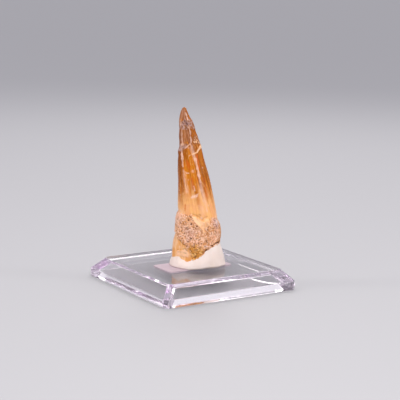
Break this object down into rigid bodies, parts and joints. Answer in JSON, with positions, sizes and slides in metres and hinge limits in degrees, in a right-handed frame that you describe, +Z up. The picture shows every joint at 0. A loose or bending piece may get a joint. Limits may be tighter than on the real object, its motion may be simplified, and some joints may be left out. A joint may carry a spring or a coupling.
{
  "type": "fossil spinosaurus tooth on display base",
  "caption": "Upright conical fossil tooth with a faceted amber crown and crusted foot, held in white putty on a clear square display base.",
  "frame": {"origin": "centre of the base's square footprint, on the surface it stands on", "axes": "+Z up along the tooth, +X along the side of the base at the picture's near right, +Y away from that side"},
  "size_m": [0.05, 0.05, 0.0586],
  "materials": {
    "clear_base": "clear moulded plastic, polished",
    "white_pad": "matt white adhesive pad",
    "mounting_putty": "soft warm white putty, hand pressed",
    "fossil_tooth": "glossy amber enamel with a rough sandy crust at the foot"
  },
  "bodies": {
    "root": {"base": "clear_base", "pad": "white_pad", "putty": "mounting_putty", "tooth": "fossil_tooth"}
  },
  "joints": []
}
